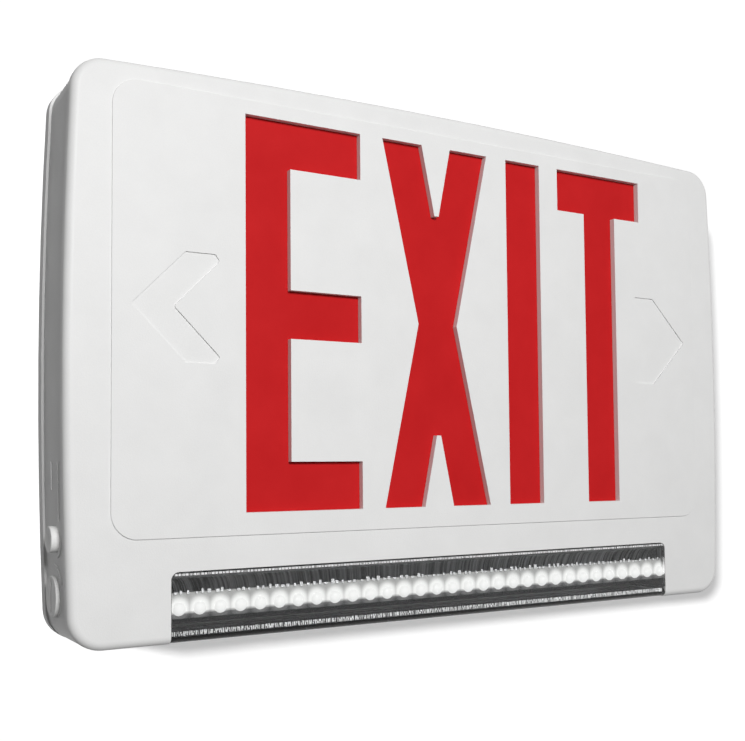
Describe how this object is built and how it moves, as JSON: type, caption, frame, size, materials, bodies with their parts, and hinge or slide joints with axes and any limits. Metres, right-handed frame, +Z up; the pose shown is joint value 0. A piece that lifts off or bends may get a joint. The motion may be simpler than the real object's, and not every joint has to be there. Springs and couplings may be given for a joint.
{
  "type": "emergency exit light",
  "caption": "Wall-mounted exit sign with cut-out letters over a red panel and a lamp bar behind a clear lens along its lower edge, with a test button and a slotted cover lock.",
  "frame": {"origin": "centre of the wire entry hole at the back plate's wall face", "axes": "+X across to the right as seen from the front, +Y into the wall, +Z up; the face looks towards -Y"},
  "size_m": [0.3276, 0.0395, 0.2138],
  "materials": {
    "cover_white": "fine satin mould texture",
    "frame_white": "fine satin mould texture",
    "legend_red": "translucent red sheet, lightly frosted",
    "pan_white": "bright white reflector plastic",
    "lens_clear": "clear polycarbonate with fine fluting",
    "mirror_bright": "bright metallised reflector",
    "strip_white": "white solder mask on laminate",
    "lamp_white": "milky lamp domes, lit white",
    "aluminium_bare": "extruded, bare",
    "button_white": "moulded, satin",
    "switch_black": "moulded housing",
    "plunger_white": "moulded nylon",
    "lock_white": "moulded, satin",
    "steel_plated": "zinc plated",
    "screw_plated": "zinc plated",
    "battery_sleeve": "shrink sleeve",
    "core_dark": "varnished laminations",
    "coil_tape": "wound, taped",
    "circuit_green": "solder mask on laminate",
    "capacitor_black": "sleeved cans",
    "terminal_cream": "moulded polyamide"
  },
  "bodies": {
    "housing": {"front_cover": "cover_white", "housing_frame": "frame_white", "back_plate": "frame_white", "legend_panel": "legend_red", "legend_reflector": "pan_white", "light_lens": "lens_clear", "light_reflector": "mirror_bright", "legend_board_upper": "strip_white", "legend_board_lower": "strip_white", "light_board": "strip_white", "legend_leds": "lamp_white", "light_leds": "lamp_white", "light_heat_strip": "aluminium_bare", "charger_heat_sink": "aluminium_bare", "test_switch": "switch_black", "charger_relay": "switch_black", "charger_headers": "plunger_white", "battery_strap": "steel_plated", "transformer_bracket": "steel_plated", "light_strip_screws": "screw_plated", "light_ear_screws": "screw_plated", "pan_screws": "screw_plated", "frame_screws": "screw_plated", "board_screws": "screw_plated", "strap_screws": "screw_plated", "bracket_screws": "screw_plated", "terminal_screws": "screw_plated", "battery_pack": "battery_sleeve", "transformer_core": "core_dark", "transformer_coil": "coil_tape", "charger_board": "circuit_green", "charger_capacitors": "capacitor_black", "terminal_block": "terminal_cream"},
    "test_button": {"test_button": "button_white", "switch_plunger": "plunger_white"},
    "cover_lock": {"cover_lock": "lock_white", "lock_tongue": "steel_plated", "lock_screw": "screw_plated"}
  },
  "joints": [
    {"name": "test_button_press", "type": "slide", "parent": "housing", "child": "test_button", "axis": [1, 0, 0], "range_m": [0, 0.0015], "stiffness_N_per_m": 1500, "springref_m": -0.001},
    {"name": "cover_lock_turn", "type": "hinge", "parent": "housing", "child": "cover_lock", "pos_m": [-0.16, -0.0192, -0.08885], "axis": [1, 0, 0], "range_deg": [0, 90]}
  ]
}
